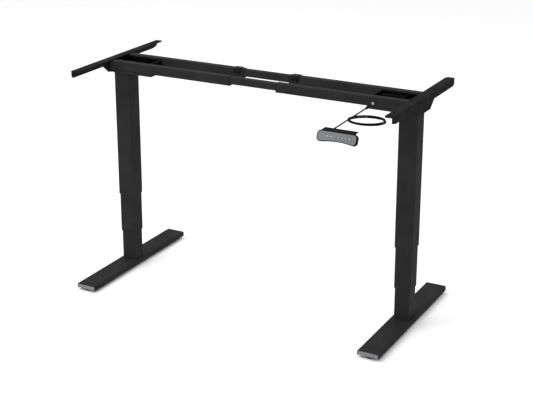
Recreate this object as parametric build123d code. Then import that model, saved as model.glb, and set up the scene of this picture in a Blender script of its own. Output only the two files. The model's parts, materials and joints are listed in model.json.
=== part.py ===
from build123d import *
import math
import os

# Height adjustable standing desk frame: two telescoping three-stage legs, a
# telescoping pair of crossbars and a wired handset. Millimetres, +Z up.
# Everything is laid out about the point midway between the legs, on the floor,
# and moved in Y at the end so that the origin is under the middle of the whole.

# ---- driving dimensions -------------------------------------------------
leg_spacing = 1290.0
foot_length = 704.0
foot_width = 88.0
foot_height = 20.0
foot_wall = 3.0
foot_edge_radius = 5.0
foot_top = 30.0
cap_depth = 9.0
cap_recess = 0.6

glide_radius = 28.0
glide_inset = 36.0
glide_stem_radius = 5.0

tube_wall = 2.0
inner_section = (64.0, 60.0)
middle_section = (70.0, 66.0)
outer_section = (76.0, 72.0)
corner_radius = 4.0
inner_length = 515.0
middle_length = 540.0
outer_length = 557.0
inner_showing = 128.5
middle_showing = 171.5
guide_gap = 0.3

head_floor = 2.5
rail_height = 37.5
rail_depth = 30.0
rail_wall = 1.6
rail_outer_y = 81.0
rail_top = 935.0
rail_outer_end = -23.5
long_rail_end = 544.0
short_rail_end = 534.0
collar_thickness = 2.5
collar_proud = 0.5
bar_section = (26.2, 28.5)
bar_length = 900.0
bar_drop = 1.9
clamp_start = 42.0
clamp_finish = 10.0
clamp_rise = 3.6
clamp_depth = 3.0
clamp_height = 24.0
clamp_screw_radius = 3.0

bracket_top = 939.0
bracket_thickness = 3.0
bracket_half_length = 315.0
bracket_web_x = -51.2
bracket_flange_edge = -16.6
bracket_web_height = 31.0
gusset_drop = 31.5
gusset_half_width = 58.0
desk_hole_radius = 3.5
desk_hole_ys = (120.0, 270.0)
desk_hole_x = -33.0

tray_inner_end = 146.0
tray_wall = 2.0
tray_top = 929.0
long_lip_end = 177.0
lip_slant = 18.0
motor_radius = 17.0
motor_length = 98.0
motor_y = -28.0
gearbox_height = 27.0
control_unit_height = 24.0

upper_screw_radius = 7.0
lower_screw_radius = 11.0
lower_screw_bore = 8.0
upper_screw_length = 430.0
lower_screw_length = 330.0
screw_flange_radius = 18.0
screw_hub_radius = 14.0
running_clearance = 0.05

cable_radius = 2.75
coil_radius = 65.0
coil_bundle_radius = 5.9
coil_along = 207.0
coil_lead_in = 17.0
handset_centre_x = 597.0
handset_width = 149.0
handset_back_y = -521.0
handset_face_top_y = -555.5
handset_face_drop = 37.5
handset_face_lean = 14.0
handset_corner_radius = 14.0
handset_arch = 5.5
handset_shell_depth = 16.0
handset_rim = 2.4
key_count = 7
key_pitch = 13.6
key_shift = 7.5
key_radius = 5.0

# ---- worked-out heights -------------------------------------------------
foot_bottom = foot_top - foot_height
middle_bottom = foot_top + inner_showing
outer_bottom = middle_bottom + middle_showing
outer_top = outer_bottom + outer_length
inner_top = foot_top + inner_length
middle_top = middle_bottom + middle_length
rail_bottom = rail_top - rail_height
rail_inner_y = rail_outer_y - rail_depth
tray_floor_top = outer_top + head_floor
half_foot = foot_length / 2

# the handset reaches further forward than the feet reach back
handset_front_y = handset_face_top_y - handset_face_lean
origin_y = (handset_front_y + half_foot) / 2


def block(x0, x1, y0, y1, z0, z1):
    """A box given by its lowest and highest corners."""
    centre = ((x0 + x1) / 2, (y0 + y1) / 2, (z0 + z1) / 2)
    return Pos(*centre) * Box(x1 - x0, y1 - y0, z1 - z0)


def rod(x, y, z0, z1, radius):
    """An upright cylinder."""
    return Pos(x, y, (z0 + z1) / 2) * Cylinder(radius, z1 - z0)


def rod_x(x0, x1, y, z, radius):
    """A cylinder lying along X."""
    return Pos((x0 + x1) / 2, y, z) * Rot(0, 90, 0) * Cylinder(radius, x1 - x0)


def rod_y(x, y0, y1, z, radius):
    """A cylinder lying along Y."""
    return Pos(x, (y0 + y1) / 2, z) * Rot(90, 0, 0) * Cylinder(radius, y1 - y0)


def round_bar(size_x, size_y, z0, z1, radius):
    """An upright bar with rounded corners."""
    return extrude(Pos(0, 0, z0) * RectangleRounded(size_x, size_y, radius), z1 - z0)


def square_tube(section, z0, z1, radius):
    """An upright rectangular tube."""
    outside = round_bar(section[0], section[1], z0, z1, radius)
    bore = (section[0] - 2 * tube_wall, section[1] - 2 * tube_wall)
    return outside - round_bar(bore[0], bore[1], z0 - 1, z1 + 1, radius - tube_wall)


def rail_tube(x0, x1, y0, y1, z0, z1, wall, radius):
    """A rectangular tube lying along X."""
    plane = Plane(origin=(x0, (y0 + y1) / 2, (z0 + z1) / 2), x_dir=(0, 1, 0), z_dir=(1, 0, 0))
    outside = extrude(plane * RectangleRounded(y1 - y0, z1 - z0, radius), x1 - x0)
    inside = extrude(plane * RectangleRounded(y1 - y0 - 2 * wall, z1 - z0 - 2 * wall, 0.8), x1 - x0)
    return outside - inside


def upright_plate(points, x0, x1):
    """A flat plate standing across X, its outline given as (y, z) points."""
    outline = Plane.YZ * make_face(Polyline(*points, close=True))
    return Pos(x0, 0, 0) * extrude(outline, x1 - x0)


def level_plate(points, z0, z1):
    """A flat plate lying level, its outline given as (x, y) points."""
    outline = make_face(Polyline(*points, close=True))
    return Pos(0, 0, z0) * extrude(outline, z1 - z0)


# ---- foot ---------------------------------------------------------------
foot_bolt_points = [(x, y) for x in (-20.0, 20.0) for y in (-18.0, 18.0)]
foot_bolt_radius = 4.0


def foot_beam():
    """Folded steel channel, open below, with a boss for each levelling glide."""
    beam = block(-foot_width / 2, foot_width / 2, -half_foot, half_foot, foot_bottom, foot_top)
    beam = fillet(beam.edges().filter_by(Axis.Y).group_by(Axis.Z)[-1], foot_edge_radius)
    hollow = block(-foot_width / 2 + foot_wall, foot_width / 2 - foot_wall,
                   -half_foot - 1, half_foot + 1, foot_bottom - 1, foot_top - foot_wall)
    beam -= hollow
    for side in (-1, 1):
        y = side * (half_foot - glide_inset)
        beam += rod(0, y, foot_bottom + 3, foot_top - foot_wall, 11)
        beam -= rod(0, y, foot_bottom, foot_top - foot_wall, glide_stem_radius + running_clearance)
    for x, y in foot_bolt_points:
        beam -= rod(x, y, foot_bottom, foot_top + 1, foot_bolt_radius + 0.5)
    return beam


def foot_end_caps():
    """A moulded plug pressed into each end of the channel, whose edge shows round it."""
    caps = []
    half_width = foot_width / 2 - foot_wall - 0.2
    top = foot_top - foot_wall - 0.2
    for side in (-1, 1):
        outer = half_foot - cap_recess
        y0, y1 = sorted((side * outer, side * (outer - cap_depth)))
        plug = block(-half_width, half_width, y0, y1, foot_bottom + 0.5, top)
        caps.append(fillet(plug.edges().filter_by(Axis.Y).group_by(Axis.Z)[-1], 2))
    return caps


def foot_bolts():
    """Four bolts from below, through the channel into the inner tube's plate."""
    bolts = []
    for x, y in foot_bolt_points:
        head = rod(x, y, foot_top - foot_wall - 5, foot_top - foot_wall, 6.5)
        socket = Pos(x, y, foot_top - foot_wall - 5) * extrude(RegularPolygon(3, 6), 3)
        bolts.append(head + rod(x, y, foot_top - foot_wall, foot_top + 7, foot_bolt_radius) - socket)
    return bolts


def glide():
    """Round levelling glide with a screw stem, standing on the floor."""
    pad = rod(0, 0, 0, 6, glide_radius)
    pad = fillet(pad.edges().group_by(Axis.Z)[0], 1.5)
    boss = rod(0, 0, 6, foot_bottom - 0.4, 12)
    stem = rod(0, 0, foot_bottom - 0.4, foot_top - foot_wall - 3, glide_stem_radius)
    return pad + boss + stem


# ---- telescoping leg ----------------------------------------------------
def inner_tube():
    """Bottom stage, closed below by a tapped plate that the foot bolts enter."""
    tube = square_tube(inner_section, foot_top, inner_top, corner_radius - 1)
    plate_size = [side - 2 * tube_wall for side in inner_section]
    plate = round_bar(plate_size[0], plate_size[1], foot_top, foot_top + 8, 1)
    for x, y in foot_bolt_points:
        plate -= rod(x, y, foot_top - 1, foot_top + 7, foot_bolt_radius)
    return tube + plate


def collar(bore_section, outer_size, z0, z1, radius):
    """A thin plastic ring filling the gap between two tubes."""
    ring = round_bar(outer_size[0], outer_size[1], z0, z1, radius)
    return ring - round_bar(bore_section[0], bore_section[1], z0 - 1, z1 + 1, radius - 0.7)


def inner_guides():
    """Sliding guide round the top of the inner tube."""
    bore = (middle_section[0] - 2 * tube_wall, middle_section[1] - 2 * tube_wall)
    outside = (bore[0] - 2 * guide_gap, bore[1] - 2 * guide_gap)
    return collar(inner_section, outside, inner_top - 60, inner_top, corner_radius - 1)


def lower_nut():
    """Plastic nut block closing the top of the inner tube."""
    size = [side - 2 * tube_wall for side in inner_section]
    nut = round_bar(size[0], size[1], inner_top - 30, inner_top, 1)
    return nut - rod(0, 0, inner_top - 31, inner_top + 1, lower_screw_radius + running_clearance)


def middle_tube():
    """Middle stage."""
    return square_tube(middle_section, middle_bottom + 2, middle_top, corner_radius)


def middle_guides():
    """Sliding guide round the top, and the wiper collar at the bottom."""
    outer_bore = (outer_section[0] - 2 * tube_wall, outer_section[1] - 2 * tube_wall)
    outside = (outer_bore[0] - 2 * guide_gap, outer_bore[1] - 2 * guide_gap)
    top = collar(middle_section, outside, middle_top - 60, middle_top, corner_radius)
    bore = (inner_section[0] + 2 * guide_gap, inner_section[1] + 2 * guide_gap)
    inside = (middle_section[0] - 2 * tube_wall, middle_section[1] - 2 * tube_wall)
    wiper = collar(bore, inside, middle_bottom + 1, middle_bottom + 40, corner_radius - 1)
    lip = collar(bore, middle_section, middle_bottom, middle_bottom + 2, corner_radius)
    return [top, wiper + lip]


def middle_bearing():
    """Plate in the top of the middle tube that carries the hollow screw."""
    size = [side - 2 * tube_wall for side in middle_section]
    plate = round_bar(size[0], size[1], middle_top - 16, middle_top, corner_radius - tube_wall)
    return plate - rod(0, 0, middle_top - 17, middle_top + 1, screw_hub_radius + running_clearance)


def outer_tube():
    """Top stage, fixed under the head."""
    return square_tube(outer_section, outer_bottom, outer_top, corner_radius + 1)


def upper_spindle():
    """Solid drive screw hanging from the gearbox."""
    screw = rod(0, 0, outer_top - upper_screw_length, outer_top + 4, upper_screw_radius)
    return screw + rod(0, 0, outer_top - 6, outer_top + 4, 10)


def lower_spindle():
    """Hollow screw turning in the middle tube's plate, with the nut at its top."""
    screw_end = middle_top - lower_screw_length
    screw = rod(0, 0, screw_end, middle_top - 18, lower_screw_radius)
    hub = rod(0, 0, middle_top - 18, middle_top + 2, screw_hub_radius)
    flange = rod(0, 0, middle_top + 0.5, middle_top + 5, screw_flange_radius)
    shoulder = rod(0, 0, middle_top - 20, middle_top - 16.5, screw_flange_radius)
    body = screw + hub + flange + shoulder
    body -= rod(0, 0, screw_end - 1, middle_top - 25, lower_screw_bore)
    return body - rod(0, 0, middle_top - 26, middle_top + 6, upper_screw_radius + running_clearance)


# ---- head: tray, rails, bracket, drive ----------------------------------
bracket_screw_points = [(-34.0, 911.0), (34.0, 911.0)]
bracket_screw_radius = 3.0
tray_back_x = bracket_web_x + bracket_thickness


def side_lip(side, length, slant):
    """Channel that carries one rail, its inner end cut off at a slant."""
    points = [(rail_outer_end, outer_top), (length, outer_top), (length + slant, rail_bottom),
              (rail_outer_end, rail_bottom)]
    strip = Plane.XZ * make_face(Polyline(*points, close=True))
    strip = Pos(0, rail_outer_y, 0) * extrude(strip, rail_depth)
    strip -= block(rail_outer_end - 1, length + slant + 1, rail_inner_y - 1, rail_outer_y - tray_wall,
                   outer_top + tray_wall, rail_bottom - tray_wall)
    return strip if side > 0 else mirror(strip, Plane.XZ)


def head_tray():
    """Folded steel tray between the rails that holds the motor and gearbox."""
    floor = block(tray_back_x, tray_inner_end, -rail_inner_y, rail_inner_y, outer_top, tray_floor_top)
    tray = floor
    for side in (-1, 1):
        y0, y1 = sorted((side * rail_inner_y, side * (rail_inner_y - tray_wall)))
        tray += block(tray_back_x, tray_inner_end, y0, y1, outer_top, tray_top)
    tray += block(tray_inner_end - tray_wall, tray_inner_end, -rail_inner_y, rail_inner_y,
                  outer_top, tray_top)
    back = [(-gusset_half_width + 4, outer_top - 6), (gusset_half_width - 4, outer_top - 6),
            (gusset_half_width - 4, tray_top), (-gusset_half_width + 4, tray_top)]
    tray += upright_plate(back, tray_back_x, tray_back_x + tray_wall)
    tray += side_lip(-1, long_lip_end, lip_slant)
    tray += side_lip(1, tray_inner_end, 0)
    tray -= rod(0, 0, outer_top - 1, tray_floor_top + 1, 13)
    for y, z in bracket_screw_points:
        tray -= rod_x(tray_back_x - 1, tray_back_x + 3, y, z, bracket_screw_radius)
    return tray


def rail_y(side):
    """The middle of a rail in Y."""
    return side * (rail_outer_y - rail_depth / 2)


def top_clamp_x(end):
    """Place along a rail of the screw through the top of its clamp."""
    return end - (clamp_start + clamp_finish) / 2


def side_clamp_xs(end):
    """Places along a rail of the two screws through the side of its clamp."""
    return (end - clamp_start + 7, end - clamp_finish - 7)


side_clamp_z = rail_top - 14.0


def clamp_bores(side, end):
    """The three screws' holes, through a clamp and the rail's wall behind it."""
    y0, y1 = sorted((side * (rail_inner_y - clamp_depth - 1), side * (rail_inner_y + rail_wall + 1)))
    bores = rod(top_clamp_x(end), rail_y(side), rail_top - 5, rail_top + 6, clamp_screw_radius)
    for x in side_clamp_xs(end):
        bores += rod_y(x, y0, y1, side_clamp_z, clamp_screw_radius)
    return bores


def crossbar_rail(side, end, clamped):
    """One fixed half of a crossbar, open at its inner end."""
    y0, y1 = sorted((side * rail_inner_y, side * rail_outer_y))
    rail = rail_tube(rail_outer_end, end, y0, y1, rail_bottom, rail_top, rail_wall, 3)
    if clamped:
        rail -= clamp_bores(side, end)
    return rail


def rail_clamp(side, end):
    """Saddle over a rail, near its open end, that holds the sliding bar's screws."""
    x0, x1 = end - clamp_start, end - clamp_finish
    ys = [side * (rail_inner_y - clamp_depth), side * (rail_outer_y - 4), side * rail_inner_y]
    top = block(x0, x1, min(ys), max(ys), rail_top, rail_top + clamp_rise)
    inner = sorted((ys[0], ys[2]))
    leg = block(x0, x1, inner[0], inner[1], rail_top - clamp_height, rail_top + clamp_rise)
    return top + leg - clamp_bores(side, end)


def rail_collar(side, end):
    """Moulded collar closing the gap between a rail's open end and its bar."""
    y0, y1 = sorted((side * (rail_inner_y - collar_proud), side * (rail_outer_y + collar_proud)))
    middle = (y0 + y1) / 2
    plane = Plane(origin=(end, middle, (rail_bottom + rail_top) / 2), x_dir=(0, 1, 0), z_dir=(1, 0, 0))
    ring = extrude(plane * RectangleRounded(y1 - y0, rail_height + 2 * collar_proud, 3), collar_thickness)
    half = bar_section[0] / 2 + guide_gap
    bar_top = rail_top - bar_drop
    return ring - block(end - 1, end + collar_thickness + 1, middle - half, middle + half,
                        bar_top - bar_section[1] - guide_gap, bar_top + guide_gap)


def rail_fittings(clamp_side, clamp_end):
    """The clamp on one rail of a head, and the collars on both."""
    collars = [rail_collar(-1, long_rail_end), rail_collar(1, short_rail_end)]
    return [rail_clamp(clamp_side, clamp_end)] + collars


def bracket():
    """Side bracket under the desktop: an angle with a deep gusset at its middle."""
    bottom = bracket_top - bracket_web_height
    low = bottom - gusset_drop
    end = bracket_half_length - 3
    web = [(-end, bracket_top), (-end, bottom + 9), (-end + 7, bottom), (-97, bottom),
           (-gusset_half_width, low), (gusset_half_width, low), (80, low + 20), (97, bottom),
           (end - 28, bottom), (end, bottom + 8), (end, bracket_top)]
    plate = upright_plate(web, bracket_web_x, bracket_web_x + bracket_thickness)
    x0, x1 = bracket_web_x, bracket_flange_edge
    length = bracket_half_length
    flange = [(x0, -length + 3), (x1 - 8, -length), (x1, -length + 12), (x1, length - 12),
              (x1 - 8, length), (x0, length - 3)]
    angle = plate + level_plate(flange, bracket_top - bracket_thickness, bracket_top)
    for y in desk_hole_ys:
        for sign in (-1, 1):
            angle -= rod(desk_hole_x, sign * y, bracket_top - 4, bracket_top + 1, desk_hole_radius)
    for y, z in bracket_screw_points:
        angle -= rod_x(bracket_web_x - 1, bracket_web_x + 4, y, z, bracket_screw_radius)
        angle -= Pos(bracket_web_x + 1.25, y, z) * Rot(0, -90, 0) * Cone(bracket_screw_radius, 5.5, 2.5)
    return angle


def head_screws(clamp_side, clamp_end):
    """All the machine screws of one head, each its own solid."""
    screws = []
    for y, z in bracket_screw_points:
        head = Pos(bracket_web_x + 1.25, y, z) * Rot(0, -90, 0) * Cone(bracket_screw_radius, 5.5, 2.5)
        screws.append(head + rod_x(bracket_web_x, tray_back_x + 4, y, z, bracket_screw_radius))
    x, y, seat = top_clamp_x(clamp_end), rail_y(clamp_side), rail_top + clamp_rise
    shank = rod(x, y, rail_top - bar_drop + 0.3, seat, clamp_screw_radius)
    screws.append(shank + rod(x, y, seat, seat + 0.3, 4.5))
    seat_y = rail_inner_y - clamp_depth
    for x in side_clamp_xs(clamp_end):
        shank = sorted((clamp_side * (seat_y - 0.2), clamp_side * (rail_inner_y + rail_wall)))
        head = sorted((clamp_side * (seat_y - 3.5), clamp_side * seat_y))
        screws.append(rod_y(x, shank[0], shank[1], side_clamp_z, clamp_screw_radius)
                      + rod_y(x, head[0], head[1], side_clamp_z, 5))
    pan = rod_y(123.5, rail_outer_y, rail_outer_y + 3.5, 911, 5.5)
    screws.append(fillet(pan.edges().group_by(Axis.Y)[-1], 1.5))
    return screws


def gearbox():
    """Worm gearbox over the column, its lower bearing open for the drive screw."""
    case = block(-30, 34, motor_y - 16, 30, tray_floor_top, tray_floor_top + gearbox_height)
    case = fillet(case.edges().filter_by(Axis.Z), 6)
    return case - rod(0, 0, tray_floor_top - 1, tray_floor_top + 5, 10.5)


def motor():
    """Drive motor lying in the tray, its plain end towards the middle of the desk."""
    z = tray_floor_top + motor_radius
    can = rod_x(34, 34 + motor_length, motor_y, z, motor_radius)
    can = fillet(can.edges().group_by(Axis.X)[-1], 3)
    return can + rod_x(34 + motor_length, 38 + motor_length, motor_y, z, 6)


# ---- crossbar -----------------------------------------------------------
def inner_bar(side):
    """Sliding bar that joins the two heads."""
    gap = (rail_depth - 2 * rail_wall - bar_section[0]) / 2
    y_far = rail_outer_y - rail_wall - gap
    y0, y1 = sorted((side * y_far, side * (y_far - bar_section[0])))
    top = rail_top - bar_drop
    return rail_tube(-bar_length / 2, bar_length / 2, y0, y1, top - bar_section[1], top, 2.0, 2.0)


def bar_shoes():
    """Plastic shoes under both ends of each bar, running inside the rails."""
    shoes = []
    top = rail_top - bar_drop - bar_section[1]
    bottom = rail_bottom + rail_wall + guide_gap
    for side in (-1, 1):
        y = side * (rail_outer_y - rail_depth / 2)
        for x in (-bar_length / 2 + 4, bar_length / 2 - 64):
            shoes.append(block(x, x + 60, y - 11, y + 11, bottom, top))
    return shoes


# ---- handset, control unit and cable --------------------------------------
cable_exit = Vector(493, -70, 887)
cable_end = Vector(541.6, -539, 917)
cable_direction = (cable_end - cable_exit).normalized()
coil_touch = cable_exit + cable_direction * coil_along
coil_normal = (Vector(0, 0, 1) - cable_direction * cable_direction.Z).normalized()
coil_axis_x = cable_direction.cross(coil_normal) * -1
coil_centre = coil_touch + coil_axis_x * coil_radius
face_tilt = math.degrees(math.atan2(handset_face_lean, handset_face_drop))
face_length = math.hypot(handset_face_lean, handset_face_drop)
face_thickness = 1.6
face_plane = Plane(origin=(handset_centre_x, handset_face_top_y, bracket_top), x_dir=(1, 0, 0),
                   z_dir=(0, -math.cos(math.radians(face_tilt)), math.sin(math.radians(face_tilt))))
key_row = -18.5
key_points = [(key_shift + (i - (key_count - 1) / 2) * key_pitch, key_row) for i in range(key_count)]
handset_hole_xs = (-50.0, 50.0)
handset_hole_y = handset_back_y - 9


def face_outline(margin):
    """The handset's face: rounded ends, and a lower edge that arches upwards."""
    half = handset_width / 2 - margin
    low = -face_length + margin
    r = handset_corner_radius - margin
    edge = [
        Line((-half + r, -margin), (half - r, -margin)),
        JernArc((half - r, -margin), (1, 0), r, -90),
        Line((half, -margin - r), (half, low + r)),
        JernArc((half, low + r), (0, -1), r, -90),
        ThreePointArc((half - r, low), (0, low + handset_arch), (-half + r, low)),
        JernArc((-half + r, low), (-1, 0), r, -90),
        Line((-half, low + r), (-half, -margin - r)),
        JernArc((-half, -margin - r), (0, 1), r, -90),
    ]
    return make_face(Wire(edge))


def handset_shell():
    """Black moulded body, hollow behind the face, with two lugs for wood screws."""
    front = extrude(face_plane * face_outline(0), -handset_shell_depth)
    roof = block(handset_centre_x - 62, handset_centre_x + 62, handset_face_top_y - 1, handset_back_y,
                 bracket_top - 3, bracket_top)
    back = block(handset_centre_x - 60, handset_centre_x + 60, handset_face_top_y + 4,
                 handset_back_y - 14, bracket_top - 26, bracket_top - 2)
    body = front + back + roof
    body &= block(0, 1200, -700, 0, 0, bracket_top)
    pocket = extrude(face_plane * face_outline(handset_rim), -face_thickness)
    hollow = extrude(face_plane * Pos(0, -19, -face_thickness) * RectangleRounded(118, 22, 3), -9)
    body -= pocket
    body -= hollow
    for x in handset_hole_xs:
        body -= rod(handset_centre_x + x, handset_hole_y, bracket_top - 10, bracket_top + 1, 2.25)
    return body


def handset_face():
    """Glossy grey panel with a round hole for each key."""
    panel = extrude(face_plane * face_outline(handset_rim + 0.2), -face_thickness)
    for x, y in key_points:
        panel -= face_plane * Pos(x, y, 0) * Cylinder(key_radius + 0.25, 8)
    return panel


def handset_key(x, y):
    """Round key, standing just proud of the face, with a collar behind it."""
    cap = face_plane * Pos(x, y, (0.9 - 3.2) / 2) * Cylinder(key_radius, 4.1)
    collar_disc = face_plane * Pos(x, y, -face_thickness - 1.0) * Cylinder(key_radius + 0.8, 1.2)
    return cap + collar_disc


def cable_run(start, stop):
    """A straight run of the handset cable."""
    plane = Plane(origin=start, z_dir=(stop - start).normalized())
    return extrude(plane * Circle(cable_radius), (stop - start).length)


def handset_cable():
    """The two straight runs, one each side of the coil."""
    return [cable_run(cable_exit, coil_touch - cable_direction * coil_lead_in),
            cable_run(coil_touch + cable_direction * coil_lead_in, cable_end)]


def handset_cable_coil():
    """Outer shape of the neat coil that takes up the spare cable."""
    plane = Plane(origin=coil_centre, x_dir=coil_axis_x, z_dir=coil_normal)
    return plane * Torus(coil_radius, coil_bundle_radius)


def cable_relief():
    """Moulded block where the cable leaves the head, with a short sleeve."""
    tray_face = leg_spacing / 2 - tray_inner_end
    base = block(487, tray_face, -62, -44, 881, 893)
    base = fillet(base.edges().filter_by(Axis.Y), 2)
    return base + rod_y(cable_exit.X, cable_exit.Y, -61, cable_exit.Z, 4)


def control_unit():
    """Sealed box with the drive electronics, beside the right motor."""
    x1 = leg_spacing / 2 - 42
    x0 = leg_spacing / 2 - tray_inner_end + tray_wall + 1
    y0 = -rail_inner_y + tray_wall + 1
    box = block(x0, x1, y0, -4, tray_floor_top, tray_floor_top + control_unit_height)
    return fillet(box.edges().filter_by(Axis.Z), 2)


# ---- collect and write ----------------------------------------------------
side_parts = {
    "foot_beam": foot_beam, "foot_end_caps": foot_end_caps, "foot_bolts": foot_bolts,
    "inner_tube": inner_tube, "inner_guides": inner_guides, "lower_nut": lower_nut,
    "middle_tube": middle_tube, "middle_guides": middle_guides, "middle_bearing": middle_bearing,
    "outer_tube": outer_tube, "upper_spindle": upper_spindle, "lower_spindle": lower_spindle,
    "head_tray": head_tray, "bracket": bracket, "gearbox": gearbox, "motor": motor,
}
left_place = Pos(-leg_spacing / 2, 0, 0)
right_place = Pos(leg_spacing / 2, 0, 0) * Rot(0, 0, 180)


def placed(shape, place):
    """Move one solid, or each of a list of solids."""
    if isinstance(shape, list):
        return [place * piece for piece in shape]
    return place * shape


def all_nodes():
    """Every node of the object, by name."""
    nodes = {}
    for side_name, place in (("left", left_place), ("right", right_place)):
        for name, make in side_parts.items():
            nodes[side_name + "_" + name] = placed(make(), place)
        long_side, short_side = (-1, 1)
        front_side, rear_side = (long_side, short_side) if side_name == "left" else (short_side, long_side)
        ends = {long_side: long_rail_end, short_side: short_rail_end}
        rear = (rear_side, ends[rear_side])
        nodes[side_name + "_front_rail"] = placed(crossbar_rail(front_side, ends[front_side], False), place)
        nodes[side_name + "_rear_rail"] = placed(crossbar_rail(*rear, True), place)
        nodes[side_name + "_rail_fittings"] = placed(rail_fittings(*rear), place)
        nodes[side_name + "_head_screws"] = placed(head_screws(*rear), place)
        for end_name, sign in (("front", -1), ("rear", 1)):
            x = -leg_spacing / 2 if side_name == "left" else leg_spacing / 2
            spot = Pos(x, sign * (half_foot - glide_inset), 0)
            nodes[side_name + "_" + end_name + "_glide"] = placed(glide(), spot)
    nodes["front_inner_bar"] = inner_bar(-1)
    nodes["rear_inner_bar"] = inner_bar(1)
    nodes["bar_shoes"] = bar_shoes()
    nodes["handset_shell"] = handset_shell()
    nodes["handset_face"] = handset_face()
    for number, (x, y) in enumerate(key_points, start=1):
        nodes["handset_key_" + str(number)] = handset_key(x, y)
    nodes["handset_cable"] = handset_cable()
    nodes["handset_cable_coil"] = handset_cable_coil()
    nodes["cable_relief"] = cable_relief()
    nodes["control_unit"] = control_unit()
    return nodes


os.makedirs("parts", exist_ok=True)
recentre = Pos(0, -origin_y, 0)
for node_name, node_shape in all_nodes().items():
    solids = placed(node_shape, recentre)
    if isinstance(solids, list):
        solids = Compound(children=[piece.solid() for piece in solids])
    solids.label = node_name
    export_step(solids, "parts/" + node_name + ".step")
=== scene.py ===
import json
import math
import bmesh
import bpy
from mathutils import Matrix, Vector


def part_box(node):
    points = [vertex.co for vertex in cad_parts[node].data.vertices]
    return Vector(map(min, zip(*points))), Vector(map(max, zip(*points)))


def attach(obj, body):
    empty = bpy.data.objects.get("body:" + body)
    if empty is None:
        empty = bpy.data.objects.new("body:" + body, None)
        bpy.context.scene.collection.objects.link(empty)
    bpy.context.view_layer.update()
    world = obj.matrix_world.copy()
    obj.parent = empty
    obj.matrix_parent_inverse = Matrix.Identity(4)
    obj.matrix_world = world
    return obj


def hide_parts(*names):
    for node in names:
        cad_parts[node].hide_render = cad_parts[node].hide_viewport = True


# Height adjustable desk frame: finishes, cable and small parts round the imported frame.
# Metres. x runs from the left leg to the right one, y away from the user, z up.

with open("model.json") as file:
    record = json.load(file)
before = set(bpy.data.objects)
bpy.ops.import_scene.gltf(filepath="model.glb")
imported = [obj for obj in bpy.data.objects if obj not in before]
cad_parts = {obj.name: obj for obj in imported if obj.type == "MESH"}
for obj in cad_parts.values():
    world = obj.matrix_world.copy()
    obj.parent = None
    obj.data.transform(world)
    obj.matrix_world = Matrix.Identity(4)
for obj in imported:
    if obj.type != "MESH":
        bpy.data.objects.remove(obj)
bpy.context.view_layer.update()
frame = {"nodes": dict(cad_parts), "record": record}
nodes = frame["nodes"]
scene = bpy.context.scene
mm = 0.001
legPlane = 0.10875  # y of the plane through both legs
legX = {"left": -0.645, "right": 0.645}
print("frame loaded,", len(nodes), "parts")


# ---- camera ----

cameraSetup = {
    "place": (2.2937, -4.1071, 2.1884),
    "below": 18.52,  # degrees that it looks down
    "turned": 28.28,  # degrees that it looks to the left of straight on
    "lens": 84.22,
    "shift": -0.0751,
}


def makeCamera(c):
    data = bpy.data.cameras.new("camera")
    data.lens = c["lens"]
    data.sensor_width = 36
    data.shift_y = c["shift"]
    data.clip_start, data.clip_end = 0.1, 60
    cam = bpy.data.objects.new("camera", data)
    scene.collection.objects.link(cam)
    cam.location = c["place"]
    cam.rotation_euler = (math.radians(90 - c["below"]), 0, math.radians(c["turned"]))
    scene.camera = cam


makeCamera(cameraSetup)


# ---- materials ----

def toLinear(hexCode):
    values = [int(hexCode[i:i + 2], 16) / 255 for i in (1, 3, 5)]
    linear = [v / 12.92 if v <= 0.04045 else ((v + 0.055) / 1.055) ** 2.4 for v in values]
    return (*linear, 1)


def addNode(tree, kind, settings=None, links=None):
    node = tree.nodes.new(kind)
    for name, value in (settings or {}).items():
        if name in node.inputs:
            node.inputs[name].default_value = value
        else:
            setattr(node, name, value)
    for name, source in (links or {}).items():
        tree.links.new(source, node.inputs[name])
    return node


def newMaterial(name):
    mat = bpy.data.materials.new(name)
    mat.use_nodes = True
    tree = mat.node_tree
    shader = tree.nodes["Principled BSDF"]
    place = addNode(tree, "ShaderNodeTexCoord").outputs["Object"]
    return mat, tree, shader, place


def perMetre(sizeMm):
    return 1000 / sizeMm  # a noise scale from the size of its spots


def grainyFinish(name, f):
    # two colours that drift into each other, a grain that breaks the gloss up, and a fine bump
    mat, tree, shader, place = newMaterial(name)
    drift = addNode(tree, "ShaderNodeTexNoise", {"Scale": perMetre(f["driftMm"]), "Detail": 3.0},
                    {"Vector": place})
    grain = addNode(tree, "ShaderNodeTexNoise", {"Scale": perMetre(f["grainMm"]), "Detail": 2.0},
                    {"Vector": place})
    colour = addNode(tree, "ShaderNodeMix", {"data_type": "RGBA", "blend_type": "MIX"})
    low, high = [s for s in colour.inputs if s.type == "RGBA"]
    low.default_value, high.default_value = toLinear(f["dark"]), toLinear(f["light"])
    blend = addNode(tree, "ShaderNodeMapRange", {"From Min": 0.35, "From Max": 0.65},
                    {"Value": drift.outputs["Fac"]})
    tree.links.new(blend.outputs["Result"], colour.inputs["Factor"])
    result = next(s for s in colour.outputs if s.type == "RGBA")
    tree.links.new(result, shader.inputs["Base Color"])
    gloss = addNode(tree, "ShaderNodeMapRange", {"From Min": 0.3, "From Max": 0.7, "To Min": f["rough"][0],
                    "To Max": f["rough"][1]}, {"Value": grain.outputs["Fac"]})
    tree.links.new(gloss.outputs["Result"], shader.inputs["Roughness"])
    bump = addNode(tree, "ShaderNodeBump", {"Strength": f["bump"], "Distance": f["depthMm"] * mm},
                   {"Height": grain.outputs["Fac"]})
    tree.links.new(bump.outputs["Normal"], shader.inputs["Normal"])
    shader.inputs["Metallic"].default_value = f.get("metallic", 0)
    if f.get("metallic", 0) < 1:
        shader.inputs["IOR"].default_value = f.get("ior", 1.5)
    shader.inputs["Specular IOR Level"].default_value = f.get("specular", 0.5)
    shader.inputs["Coat Weight"].default_value = f.get("coat", 0)
    return mat


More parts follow.
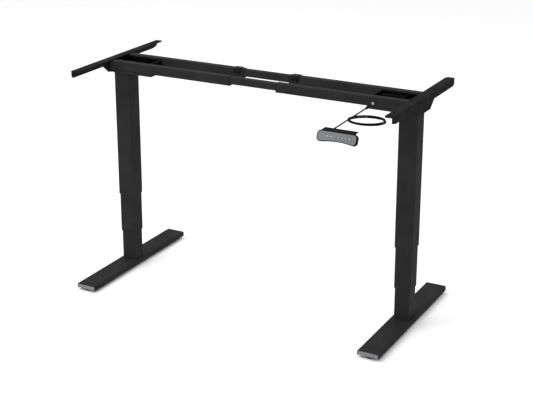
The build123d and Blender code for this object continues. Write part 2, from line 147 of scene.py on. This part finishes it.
finishes = {
    # polyester powder, sprayed and baked: an even fine grain, kept nearly without gleam
    "powderCoat": {"dark": "#242425", "light": "#2a2a2b", "driftMm": 90,
                   "grainMm": 1.6, "rough": (0.5, 0.64),
                   "bump": 0.25, "depthMm": 0.1, "specular": 0.02},
    # the same powder for the brackets, with no gleam at all and a touch darker: a painted-shade copy of the
    # powder coat
    "bracketPaintedShadeCoat": {"dark": "#222223", "light": "#29292a", "driftMm": 70,
                    "grainMm": 1.6, "rough": (0.7, 0.82),
                    "bump": 0.2, "depthMm": 0.08, "specular": 0.0},
    # near black painted shade, for what lies deep in the trays, so that they read as openings
    "paintedShadeCoat": {"dark": "#060606", "light": "#0a0a0a", "driftMm": 40,
                      "grainMm": 1.6, "rough": (0.7, 0.85),
                      "bump": 0.2, "depthMm": 0.1, "specular": 0.0},
    # ABS moulded in a lightly etched tool: black, nearly without gleam
    "etchedAbs": {"dark": "#050505", "light": "#080808", "driftMm": 30,
                  "grainMm": 0.9, "rough": (0.5, 0.65),
                  "bump": 0.2, "depthMm": 0.05, "specular": 0.02},
    # polypropylene moulded grey: even, waxy
    "greyPolypropylene": {"dark": "#6c6c6f", "light": "#747477", "driftMm": 25,
                          "grainMm": 1.0, "rough": (0.45, 0.6),
                          "bump": 0.25, "depthMm": 0.06},
    # painted acrylic panel: smooth and glossy
    "greyAcrylic": {"dark": "#646568", "light": "#6a6b6e", "driftMm": 40,
                    "grainMm": 6.0, "rough": (0.16, 0.22),
                    "bump": 0.04, "depthMm": 0.03, "coat": 0.4},
    # printed ink: flat white
    "whiteInk": {"dark": "#d2d3d4", "light": "#dcdcdc", "driftMm": 4,
                 "grainMm": 0.4, "rough": (0.4, 0.5),
                 "bump": 0.1, "depthMm": 0.02},
    # extruded PVC jacket: black, nearly without gleam
    "pvcJacket": {"dark": "#060606", "light": "#0a0a0a", "driftMm": 30,
                  "grainMm": 1.2, "rough": (0.5, 0.62),
                  "bump": 0.2, "depthMm": 0.05, "specular": 0.03},
    # glass-filled nylon: dull black with fine speckle
    "slidingNylon": {"dark": "#0c0c0d", "light": "#1a1a1b", "driftMm": 5,
                     "grainMm": 0.7, "rough": (0.5, 0.7),
                     "bump": 0.35, "depthMm": 0.05, "specular": 0.12},
    # moulded rubber: deep black, dull
    "gliderRubber": {"dark": "#0c0c0c", "light": "#131313", "driftMm": 12,
                     "grainMm": 1.0, "rough": (0.62, 0.8),
                     "bump": 0.4, "depthMm": 0.08},
    # zinc plate over steel: pale grey with a slight blue cast
    "zincPlate": {"dark": "#a4a8ac", "light": "#c2c4c6", "driftMm": 5,
                  "grainMm": 0.5, "rough": (0.24, 0.42),
                  "bump": 0.2, "depthMm": 0.02, "metallic": 1},
    # blackened steel: dark and dull
    "blackOxideSteel": {"dark": "#0e0e0f", "light": "#151516", "driftMm": 5,
                        "grainMm": 0.6, "rough": (0.4, 0.55),
                        "bump": 0.15, "depthMm": 0.02, "metallic": 0.2, "specular": 0.03},
    # rolled steel rod, greased: darker, cloudy
    "rolledScrewSteel": {"dark": "#6f7072", "light": "#8b8c8e", "driftMm": 6,
                         "grainMm": 0.8, "rough": (0.22, 0.4),
                         "bump": 0.15, "depthMm": 0.02, "metallic": 1},
    # die cast zinc under thin black paint: fine pebbled skin
    "paintedCasting": {"dark": "#070707", "light": "#0c0c0c", "driftMm": 20,
                       "grainMm": 2.2, "rough": (0.6, 0.8),
                       "bump": 0.5, "depthMm": 0.12, "specular": 0.01},
    # drawn steel can, dipped black: smooth
    "dippedCan": {"dark": "#070708", "light": "#0c0c0d", "driftMm": 30,
                  "grainMm": 3.0, "rough": (0.5, 0.65),
                  "bump": 0.1, "depthMm": 0.04, "specular": 0.01},
}
made = {name: grainyFinish(name, f) for name, f in finishes.items()}
print("finishes made,", len(made))

finishOfSlot = {
    "powder_black": "powderCoat", "black_abs": "etchedAbs",
    "grey_face": "greyAcrylic", "key_cap": "greyAcrylic",
    "cable_jacket": "pvcJacket", "slider_nylon": "slidingNylon", "glide_rubber": "gliderRubber",
    "grey_cap": "greyPolypropylene", "zinc_screw": "zincPlate", "screw_steel": "rolledScrewSteel",
    "gear_casting": "paintedCasting", "motor_can": "dippedCan", "clamp_black": "slidingNylon",
}


def trayFinishWithPaintedShade(outside, inside, wallY, edgeZ):
    # the outside coat, and near-black painted shade between the side walls and below their edges
    mat = made[outside].copy()
    mat.name = "trayPaintedShadeCoat"
    tree = mat.node_tree
    shader = next(n for n in tree.nodes if n.type == "BSDF_PRINCIPLED")
    place = addNode(tree, "ShaderNodeTexCoord").outputs["Object"]
    axes = addNode(tree, "ShaderNodeSeparateXYZ", links={"Vector": place})
    fromMiddle = addNode(tree, "ShaderNodeMath", {"operation": "SUBTRACT"})
    tree.links.new(axes.outputs["Y"], fromMiddle.inputs[0])
    fromMiddle.inputs[1].default_value = legPlane
    away = addNode(tree, "ShaderNodeMath", {"operation": "ABSOLUTE"}, {"Value": fromMiddle.outputs[0]})
    within = addNode(tree, "ShaderNodeMath", {"operation": "LESS_THAN"}, {"Value": away.outputs[0]})
    within.inputs[1].default_value = wallY
    below = addNode(tree, "ShaderNodeMath", {"operation": "LESS_THAN"}, {"Value": axes.outputs["Z"]})
    below.inputs[1].default_value = edgeZ
    # painted shade mask: within the side walls and below their edges the colour turns near black
    paintedShadeMask = addNode(tree, "ShaderNodeMath", {"operation": "MULTIPLY"})
    tree.links.new(within.outputs[0], paintedShadeMask.inputs[0])
    tree.links.new(below.outputs[0], paintedShadeMask.inputs[1])
    shade = addNode(tree, "ShaderNodeMix", {"data_type": "RGBA", "blend_type": "MIX"})
    tree.links.new(paintedShadeMask.outputs[0], shade.inputs["Factor"])
    low, high = [s for s in shade.inputs if s.type == "RGBA"]
    tree.links.new(shader.inputs["Base Color"].links[0].from_socket, low)
    high.default_value = toLinear(finishes[inside]["light"])
    tree.links.new(next(s for s in shade.outputs if s.type == "RGBA"), shader.inputs["Base Color"])
    return mat


# the trays' insides are painted near black, as painted shade for the deep pit
made["trayPaintedShadeCoat"] = trayFinishWithPaintedShade("powderCoat", "paintedShadeCoat", 0.0501, 0.9285)
slotOfNode = {s["node"]: s["material_slot"] for s in frame["record"]["subparts"]}
finishOfNode = {"head_tray": "trayPaintedShadeCoat", "bracket": "bracketPaintedShadeCoat"}  # on both heads
for name, obj in nodes.items():
    obj.data.materials.clear()
    finish = finishOfNode.get(name.split("_", 1)[1], finishOfSlot[slotOfNode[name]])
    obj.data.materials.append(made[finish])


def addPiece(name, bm, finish, body, smooth=35):
    data = bpy.data.meshes.new(name)
    bm.to_mesh(data)
    bm.free()
    obj = bpy.data.objects.new(name, data)
    scene.collection.objects.link(obj)
    data.materials.append(made[finish])
    data.shade_smooth()
    data.set_sharp_from_angle(angle=math.radians(smooth))
    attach(obj, body)
    return obj


# ---- handset cable ----

cable = {
    "radius": 2.75 * mm,
    "exit": (0.493, 0.03875, 0.887),
    "end": (0.5416, -0.43025, 0.917),
    "alongToCoil": 0.207,
    "coilRadius": 0.065,
    "bundleRadius": 3.25 * mm,  # centre of a strand from the middle of the coiled bundle
    "turns": 2,
    "pointsPerTurn": 20,
    "runPoints": (0.0, 0.05, 0.10, 0.14, 0.172, 0.190),  # along the run from the head to the coil
    "leavePoints": (0.224, 0.242, 0.275, 0.33, 0.40, 0.4725),
    "length": 1.3,
}


def cablePoints(c):
    start, stop = Vector(c["exit"]), Vector(c["end"])
    along = (stop - start).normalized()
    touch = start + along * c["alongToCoil"]
    up = (Vector((0, 0, 1)) - along * along.z).normalized()  # the coil lies level with its own run
    out = up.cross(along)
    centre = touch + out * c["coilRadius"]
    points = [start + along * s for s in c["runPoints"]]
    count = c["turns"] * c["pointsPerTurn"]
    outward = 1 / math.cos(math.pi / c["pointsPerTurn"])  # the spline runs inside its corners
    for i in range(1, count):
        turn = 2 * math.pi * i / c["pointsPerTurn"]
        strand = math.radians(150 - 120 * i / c["pointsPerTurn"])  # three places round the bundle
        r = (c["coilRadius"] + c["bundleRadius"] * math.cos(strand)) * outward
        z = c["bundleRadius"] * math.sin(strand)
        points.append(centre - out * r * math.cos(turn) + along * r * math.sin(turn) + up * z)
    points += [start + along * s for s in c["leavePoints"]]
    return points


def makeCable(c):
    curve = bpy.data.curves.new("handsetLead", "CURVE")
    curve.dimensions = "3D"
    spline = curve.splines.new("NURBS")
    points = cablePoints(c)
    spline.points.add(len(points) - 1)
    for point, place in zip(spline.points, points):
        point.co = (*place, 1)
    spline.order_u = 3
    spline.use_endpoint_u = True
    spline.resolution_u = 6
    curve.bevel_depth = c["radius"]
    curve.bevel_resolution = 5
    curve.use_fill_caps = True
    obj = bpy.data.objects.new("handsetLead", curve)
    scene.collection.objects.link(obj)
    curve.materials.append(made["pvcJacket"])
    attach(obj, "right_head")
    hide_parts("handset_cable", "handset_cable_coil")
    return obj


lead = makeCable(cable)
print("cable laid")


# ---- shapes that several pieces share ----

def blockIn(bm, low, high, bevel=0.0, segments=2):
    # a block between two corners, its edges rounded
    corners = bmesh.ops.create_cube(bm, size=1)["verts"]
    size = [h - l for l, h in zip(low, high)]
    middle = [(h + l) / 2 for l, h in zip(low, high)]
    bmesh.ops.scale(bm, vec=size, verts=corners)
    bmesh.ops.translate(bm, vec=middle, verts=corners)
    if bevel:
        edges = list({e for v in corners for e in v.link_edges})
        bmesh.ops.bevel(bm, geom=edges, offset=bevel, offset_type="OFFSET", segments=segments, profile=0.5,
                        affect="EDGES", material=-1, clamp_overlap=True)


def turned(bm, profile, place, steps=40):
    # a profile of (radius, height) points turned about the local z axis, then put in place
    before = set(bm.verts)
    verts = [bm.verts.new((r, 0, h)) for r, h in profile]
    edges = [bm.edges.new(pair) for pair in zip(verts, verts[1:])]
    bmesh.ops.spin(bm, geom=verts + edges, cent=(0, 0, 0), axis=(0, 0, 1), angle=2 * math.pi, steps=steps,
                   use_merge=True)
    bmesh.ops.remove_doubles(bm, verts=[v for v in bm.verts if v not in before], dist=1e-6)
    fresh = [v for v in bm.verts if v not in before]
    bmesh.ops.recalc_face_normals(bm, faces=list({f for v in fresh for f in v.link_faces}))
    bmesh.ops.transform(bm, matrix=place, verts=fresh)


def facing(point, direction):
    # where a local z axis at this point looks along a direction
    return Matrix.Translation(Vector(point)) @ Vector(direction).to_track_quat("Z", "Y").to_matrix().to_4x4()


def hexRadius(flat, angle):
    return flat / math.cos((angle + math.pi / 6) % (math.pi / 3) - math.pi / 6)


def crossRadius(size, angle):
    return size * (0.62 + 0.38 * math.cos(4 * angle))


def screwHead(bm, place, radius, height, recess, recessSize):
    # a domed head with a hexagon or a cross sunk into its top
    before = set(bm.verts)
    cone = bmesh.ops.create_cone(bm, cap_ends=True, segments=24, radius1=radius, radius2=radius * 0.86,
                                 depth=height, matrix=Matrix.Translation((0, 0, height / 2)))
    top = max({f for v in cone["verts"] for f in v.link_faces}, key=lambda f: f.calc_center_median().z)
    bmesh.ops.inset_region(bm, faces=[top], thickness=radius * 0.12, depth=height * 0.12)
    bmesh.ops.inset_region(bm, faces=[top], thickness=radius * 0.2, depth=height * 0.03)
    for v in top.verts:
        angle = math.atan2(v.co.y, v.co.x)
        r = recess(recessSize, angle)
        v.co.x, v.co.y = r * math.cos(angle), r * math.sin(angle)
    bmesh.ops.inset_region(bm, faces=[top], thickness=0.00002, depth=-height * 0.55)
    bmesh.ops.transform(bm, matrix=place, verts=[v for v in bm.verts if v not in before])


headPlace = {
    "left": Matrix.Translation((legX["left"], legPlane, 0)),
    "right": Matrix.Translation((legX["right"], legPlane, 0)) @ Matrix.Rotation(math.pi, 4, "Z"),
}


# ---- screws ----

screwSizes = {
    "bracket": {"spots": ((-34, 911), (34, 911)), "face": -51.2, "radius": 5.4, "height": 0.3},
    "clampTop": {"radius": 4.5, "height": 0.3, "z": 938.6, "y": 66.0},
    "clampSide": {"radius": 5.0, "height": 3.4, "z": 921.0, "y": 48.0, "insets": (35.0, 17.0)},
    # which side the clamp is on, and where that rail ends
    "railEnd": {"left": (1, 534.0), "right": (-1, 544.0)},
    "pan": {"x": 123.5, "y": 81.0, "z": 911.0, "radius": 5.6, "height": 3.6},
}


def makeHeadScrews(side, s):
    dark = bmesh.new()
    for y, z in s["bracket"]["spots"]:
        spot = facing(Vector((s["bracket"]["face"] - 0.02, y, z)) * mm, (-1, 0, 0))
        screwHead(dark, spot, s["bracket"]["radius"] * mm, s["bracket"]["height"] * mm, hexRadius, 1.9 * mm)
    clampSide, end = s["railEnd"][side]
    top = s["clampTop"]
    spot = facing(Vector((end - 26, clampSide * top["y"], top["z"] - 0.02)) * mm, (0, 0, 1))
    screwHead(dark, spot, top["radius"] * mm, top["height"] * mm, hexRadius, 1.9 * mm)
    edge = s["clampSide"]
    for inset in edge["insets"]:
        spot = facing(Vector((end - inset, clampSide * (edge["y"] - 0.02), edge["z"])) * mm, (0, -clampSide, 0))
        screwHead(dark, spot, edge["radius"] * mm, edge["height"] * mm, hexRadius, 2.1 * mm)
    dark.transform(headPlace[side])
    blackScrews = addPiece(side + "BlackScrews", dark, "blackOxideSteel", side + "_head")
    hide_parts(side + "_head_screws")
    bright = bmesh.new()
    pan = s["pan"]
    spot = facing(Vector((pan["x"], pan["y"] - 0.02, pan["z"])) * mm, (0, 1, 0))
    screwHead(bright, spot, pan["radius"] * mm, pan["height"] * mm, crossRadius, 2.8 * mm)
    bright.transform(headPlace[side])
    addPiece(side + "PanScrew", bright, "zincPlate", side + "_head")


for side in ("left", "right"):
    makeHeadScrews(side, screwSizes)


footBolt = {"dx": (-20, 20), "dy": (-18, 18), "seat": 0.02702, "radius": 6.5, "height": 5, "recess": 2.6}


def makeFootBolts(side, x):
    bm = bmesh.new()
    b = footBolt
    for dx in b["dx"]:
        for dy in b["dy"]:
            spot = facing((x + dx * mm, legPlane + dy * mm, b["seat"]), (0, 0, -1))
            screwHead(bm, spot, b["radius"] * mm, b["height"] * mm, hexRadius, b["recess"] * mm)
    piece = addPiece(side + "FootBolts", bm, "zincPlate", side + "_foot")
    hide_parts(side + "_foot_bolts")


for side, x in legX.items():
    makeFootBolts(side, x)
print("screws made")


# ---- levelling glides ----

glide = {
    "spots": {"front": -0.316, "rear": 0.316},
    "profile": ((0, 0.0), (20, 0.0), (21, 0.6), (25.5, 0.6), (27.2, 0.0), (28, 1.2), (28, 4.4), (26.8, 5.8),
                (16, 6.6), (12, 7.6), (12, 9.4), (5, 9.4), (5, 23.8), (0, 23.8)),
    "ribs": 36,
    "ribDepth": 0.5,
}


def makeGlide(side, x, end, g):
    bm = bmesh.new()
    turned(bm, [(r * mm, h * mm) for r, h in g["profile"]], Matrix.Identity(4), steps=g["ribs"] * 2)
    for v in bm.verts:
        r = math.hypot(v.co.x, v.co.y)
        if r > 0.0275:  # every other step of the rim is cut back, as a grip for turning it
            step = round(math.atan2(v.co.y, v.co.x) / (math.pi / g["ribs"]))
            if step % 2:
                v.co.x, v.co.y = v.co.x * (1 - g["ribDepth"] * mm / r), v.co.y * (1 - g["ribDepth"] * mm / r)
    bm.transform(Matrix.Translation((x, legPlane + g["spots"][end], 0)))
    body = side + "_" + end + "_leveller"
    piece = addPiece(side + end.capitalize() + "Glide", bm, "gliderRubber", body)
    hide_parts(side + "_" + end + "_glide")


for side, x in legX.items():
    for end in ("front", "rear"):
        makeGlide(side, x, end, glide)
print("glides made")


# ---- drive: motors, gearboxes, screws and control unit ----

motor = {
    "axisY": -28.0, "axisZ": 906.5, "start": 34.0,
    "profile": ((0, 0), (16.2, 0), (17, 0.8), (17, 12), (16.6, 12.4), (16.6, 13.2), (17, 13.6), (17, 84),
                (16.4, 84.6), (16.4, 86), (15.4, 86.6), (15.4, 96), (14.2, 98), (7, 98), (6, 98.8), (6, 101.6),
                (4.6, 102), (0, 102)),
    "boltCircle": 10.5, "bolts": 3, "boltSeat": 97.98,
}


def makeMotor(side, m):
    bm = bmesh.new()
    place = facing(Vector((m["start"], m["axisY"], m["axisZ"])) * mm, (1, 0, 0))
    turned(bm, [(r * mm, h * mm) for r, h in m["profile"]], place, steps=48)
    for i in range(m["bolts"]):
        angle = 2 * math.pi * i / m["bolts"] + 0.4
        y = m["axisY"] + m["boltCircle"] * math.cos(angle)
        z = m["axisZ"] + m["boltCircle"] * math.sin(angle)
        spot = facing(Vector((m["start"] + m["boltSeat"], y, z)) * mm, (1, 0, 0))
        screwHead(bm, spot, 2.2 * mm, 1.6 * mm, crossRadius, 1.1 * mm)
    bm.transform(headPlace[side])
    piece = addPiece(side + "Motor", bm, "dippedCan", side + "_head")
    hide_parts(side + "_motor")


gearbox = {
    "low": (-30, -44, 889.5), "high": (34, 30, 914.5),
    "bossRadius": 19, "bossTop": 916.3,
    "screwSpots": ((-24, -38), (28, -38), (-24, 24), (28, 24)),
    "ribYs": (-30, -16, 18),
}


def makeGearbox(side, g):
    bm = bmesh.new()
    top = g["high"][2]
    blockIn(bm, [v * mm for v in g["low"]], [v * mm for v in g["high"]], 4 * mm, 3)
    rise = g["bossTop"] - top
    turned(bm, [(r * mm, h * mm) for r, h in ((0, -2), (g["bossRadius"], -2), (g["bossRadius"], rise - 0.6),
                (g["bossRadius"] - 0.8, rise), (9, rise), (8, rise - 0.9), (0, rise - 0.9))],
           Matrix.Translation((0, 0, top * mm)))
    for y in g["ribYs"]:
        low, high = (-27, y - 1.2, top - 3), (31, y + 1.2, top + 1.2)
        blockIn(bm, [v * mm for v in low], [v * mm for v in high], 0.6 * mm)
    for x, y in g["screwSpots"]:
        spot = facing(Vector((x, y, top - 0.05)) * mm, (0, 0, 1))
        screwHead(bm, spot, 3.2 * mm, 1.9 * mm, crossRadius, 1.6 * mm)
    bm.transform(headPlace[side])
    piece = addPiece(side + "Gearbox", bm, "paintedCasting", side + "_head")
    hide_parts(side + "_gearbox")


for side in ("left", "right"):
    makeMotor(side, motor)
    makeGearbox(side, gearbox)


def makeControlUnit():
    low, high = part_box("control_unit")
    bm = bmesh.new()
    seam = low.z + (high.z - low.z) * 0.62
    blockIn(bm, low, (high.x, high.y, seam - 0.3 * mm), 1.2 * mm)
    inner = 0.6 * mm  # the seam between base and lid shows as a groove this deep
    blockIn(bm, (low.x + inner, low.y + inner, seam - mm), (high.x - inner, high.y - inner, seam + mm))
    blockIn(bm, (low.x, low.y, seam + 0.3 * mm), high, 1.6 * mm, 3)
    for i in range(9):  # cooling ribs on the lid
        x = low.x + 22 * mm + i * 7 * mm
        ribLow = (x, low.y + 9 * mm, high.z - 1 * mm)
        ribHigh = (x + 2.4 * mm, high.y - 9 * mm, high.z + 0.6 * mm)
        blockIn(bm, ribLow, ribHigh, 0.4 * mm)
    for x in (low.x + 6 * mm, high.x - 6 * mm):
        for y in (low.y + 6 * mm, high.y - 6 * mm):
            spot = facing((x, y, high.z - 0.02 * mm), (0, 0, 1))
            screwHead(bm, spot, 2.6 * mm, 1.2 * mm, crossRadius, 1.3 * mm)
    # the control unit takes the near-black painted-shade coat of the tray's inside
    piece = addPiece("controlUnit", bm, "paintedShadeCoat", "right_head")
    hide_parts("control_unit")


makeControlUnit()
print("drive made")


# ---- handset ----

face = {
    "top": (0.597, -0.44675, 0.939),  # middle of the top edge of its face
    "drop": 37.5, "lean": 14.0,
    "keyRow": -18.5, "keyPitch": 13.6, "keyShift": 7.5, "keyRise": 0.9,
    "symbolSize": 5.4, "symbolRise": 0.12,
    "symbols": ("up", "down", "1", "2", "3", "4", "ring"),
}


def facePlace(f, x, y, rise):
    # a frame lying on the face: x along it, y up it, z out of it
    tilt = math.atan2(f["lean"], f["drop"])
    out = Vector((0, -math.cos(tilt), math.sin(tilt)))
    upward = Vector((0, math.sin(tilt), math.cos(tilt)))
    m = Matrix((Vector((1, 0, 0)), upward, out)).transposed().to_4x4()
    spot = Vector(f["top"]) + Vector((1, 0, 0)) * x * mm + upward * y * mm + out * rise * mm
    return Matrix.Translation(spot) @ m


def symbolMesh(kind, size, rise):
    bm = bmesh.new()
    if kind in ("up", "down"):
        bmesh.ops.create_circle(bm, cap_ends=True, segments=3, radius=size * 0.52)
        bmesh.ops.rotate(bm, verts=bm.verts, cent=(0, 0, 0),
                         matrix=Matrix.Rotation(math.pi if kind == "down" else 0, 3, "Z"))
    elif kind == "ring":
        angles = [2 * math.pi * i / 28 for i in range(28)]
        rims = [[bm.verts.new((r * size * math.cos(a), r * size * math.sin(a), 0)) for a in angles]
                for r in (0.46, 0.33)]
        for i in range(28):
            bm.faces.new((rims[0][i - 1], rims[0][i], rims[1][i], rims[1][i - 1]))
    else:
        text = bpy.data.curves.new("numeral", "FONT")
        text.body = kind
        text.size = size * 1.35
        text.align_x, text.align_y = "CENTER", "CENTER"
        text.resolution_u = 3
        holder = bpy.data.objects.new("numeral", text)
        scene.collection.objects.link(holder)
        flat = bpy.data.meshes.new_from_object(holder)
        bm.from_mesh(flat)
        bpy.data.objects.remove(holder)
        bpy.data.meshes.remove(flat)
        bmesh.ops.remove_doubles(bm, verts=bm.verts, dist=1e-6)
    bmesh.ops.recalc_face_normals(bm, faces=bm.faces)
    top = bmesh.ops.extrude_face_region(bm, geom=bm.faces[:])
    lifted = [v for v in top["geom"] if isinstance(v, bmesh.types.BMVert)]
    bmesh.ops.translate(bm, vec=(0, 0, rise), verts=lifted)
    bmesh.ops.recalc_face_normals(bm, faces=bm.faces)
    return bm


for i, kind in enumerate(face["symbols"]):
    symbol = symbolMesh(kind, face["symbolSize"] * mm, face["symbolRise"] * mm)
    x = face["keyShift"] + (i - 3) * face["keyPitch"]
    symbol.transform(facePlace(face, x, face["keyRow"], face["keyRise"] - 0.02))
    addPiece("keySymbol" + str(i + 1), symbol, "whiteInk", "key_" + str(i + 1))

relief = {
    "low": (0.487, 0.04675, 0.881), "high": (0.499, 0.06475, 0.893),
    "profile": ((0, -9), (5.6, -9), (5.6, 0), (5.0, 1.2), (4.9, 4), (4.1, 4.4), (4.1, 5.6), (4.6, 6), (4.5, 9),
                (3.8, 9.4), (3.8, 10.6), (4.2, 11), (4.1, 14), (3.5, 14.4), (3.5, 15.6), (3.8, 16), (3.5, 20),
                (2.9, 21), (0, 21)),
}


def makeRelief(r):
    bm = bmesh.new()
    blockIn(bm, r["low"], r["high"], 2 * mm, 3)
    along = (Vector(cable["end"]) - Vector(cable["exit"])).normalized()
    turned(bm, [(a * mm, h * mm) for a, h in r["profile"]], facing(Vector(cable["exit"]), along), steps=32)
    piece = addPiece("cableRelief", bm, "etchedAbs", "right_head")
    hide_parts("cable_relief")
    return piece


sleeve = makeRelief(relief)
print("handset finished")


# ---- floor and light ----

studio = {
    "floorSize": 60.0,
    "floor": "#f4f4f4",
    "sky": "#ffffff",
    "skyStrength": 1.0,
}


def makeStudio(s):
    bm = bmesh.new()
    bmesh.ops.create_grid(bm, x_segments=1, y_segments=1, size=s["floorSize"] / 2)
    data = bpy.data.meshes.new("floor")
    bm.to_mesh(data)
    bm.free()
    floor = bpy.data.objects.new("floor", data)
    scene.collection.objects.link(floor)
    mat, tree, shader, place = newMaterial("paleFloor")
    shader.inputs["Base Color"].default_value = toLinear(s["floor"])
    shader.inputs["Roughness"].default_value = 0.9
    data.materials.append(mat)
    world = bpy.data.worlds.new("softStudio")
    world.use_nodes = True
    world.node_tree.nodes["Background"].inputs["Color"].default_value = toLinear(s["sky"])
    world.node_tree.nodes["Background"].inputs["Strength"].default_value = s["skyStrength"]
    scene.world = world
    scene.view_settings.view_transform = "Standard"


makeStudio(studio)

lamps = {
    "softTop": {"place": (-1.6, -0.2, 4.6), "aim": (-0.6, 0.1, 0.5), "size": 3.0, "watts": 95},
    "leftFront": {"place": (-3.2, -3.4, 2.8), "aim": (0, 0.1, 0.5), "size": 2.6, "watts": 60},
}


def makeLamps(table):
    for name, l in table.items():
        data = bpy.data.lights.new(name, "AREA")
        data.shape = "SQUARE"
        data.size = l["size"]
        data.energy = l["watts"]
        obj = bpy.data.objects.new(name, data)
        scene.collection.objects.link(obj)
        obj.location = l["place"]
        away = Vector(l["place"]) - Vector(l["aim"])
        obj.rotation_euler = away.to_track_quat("Z", "Y").to_euler()


makeLamps(lamps)
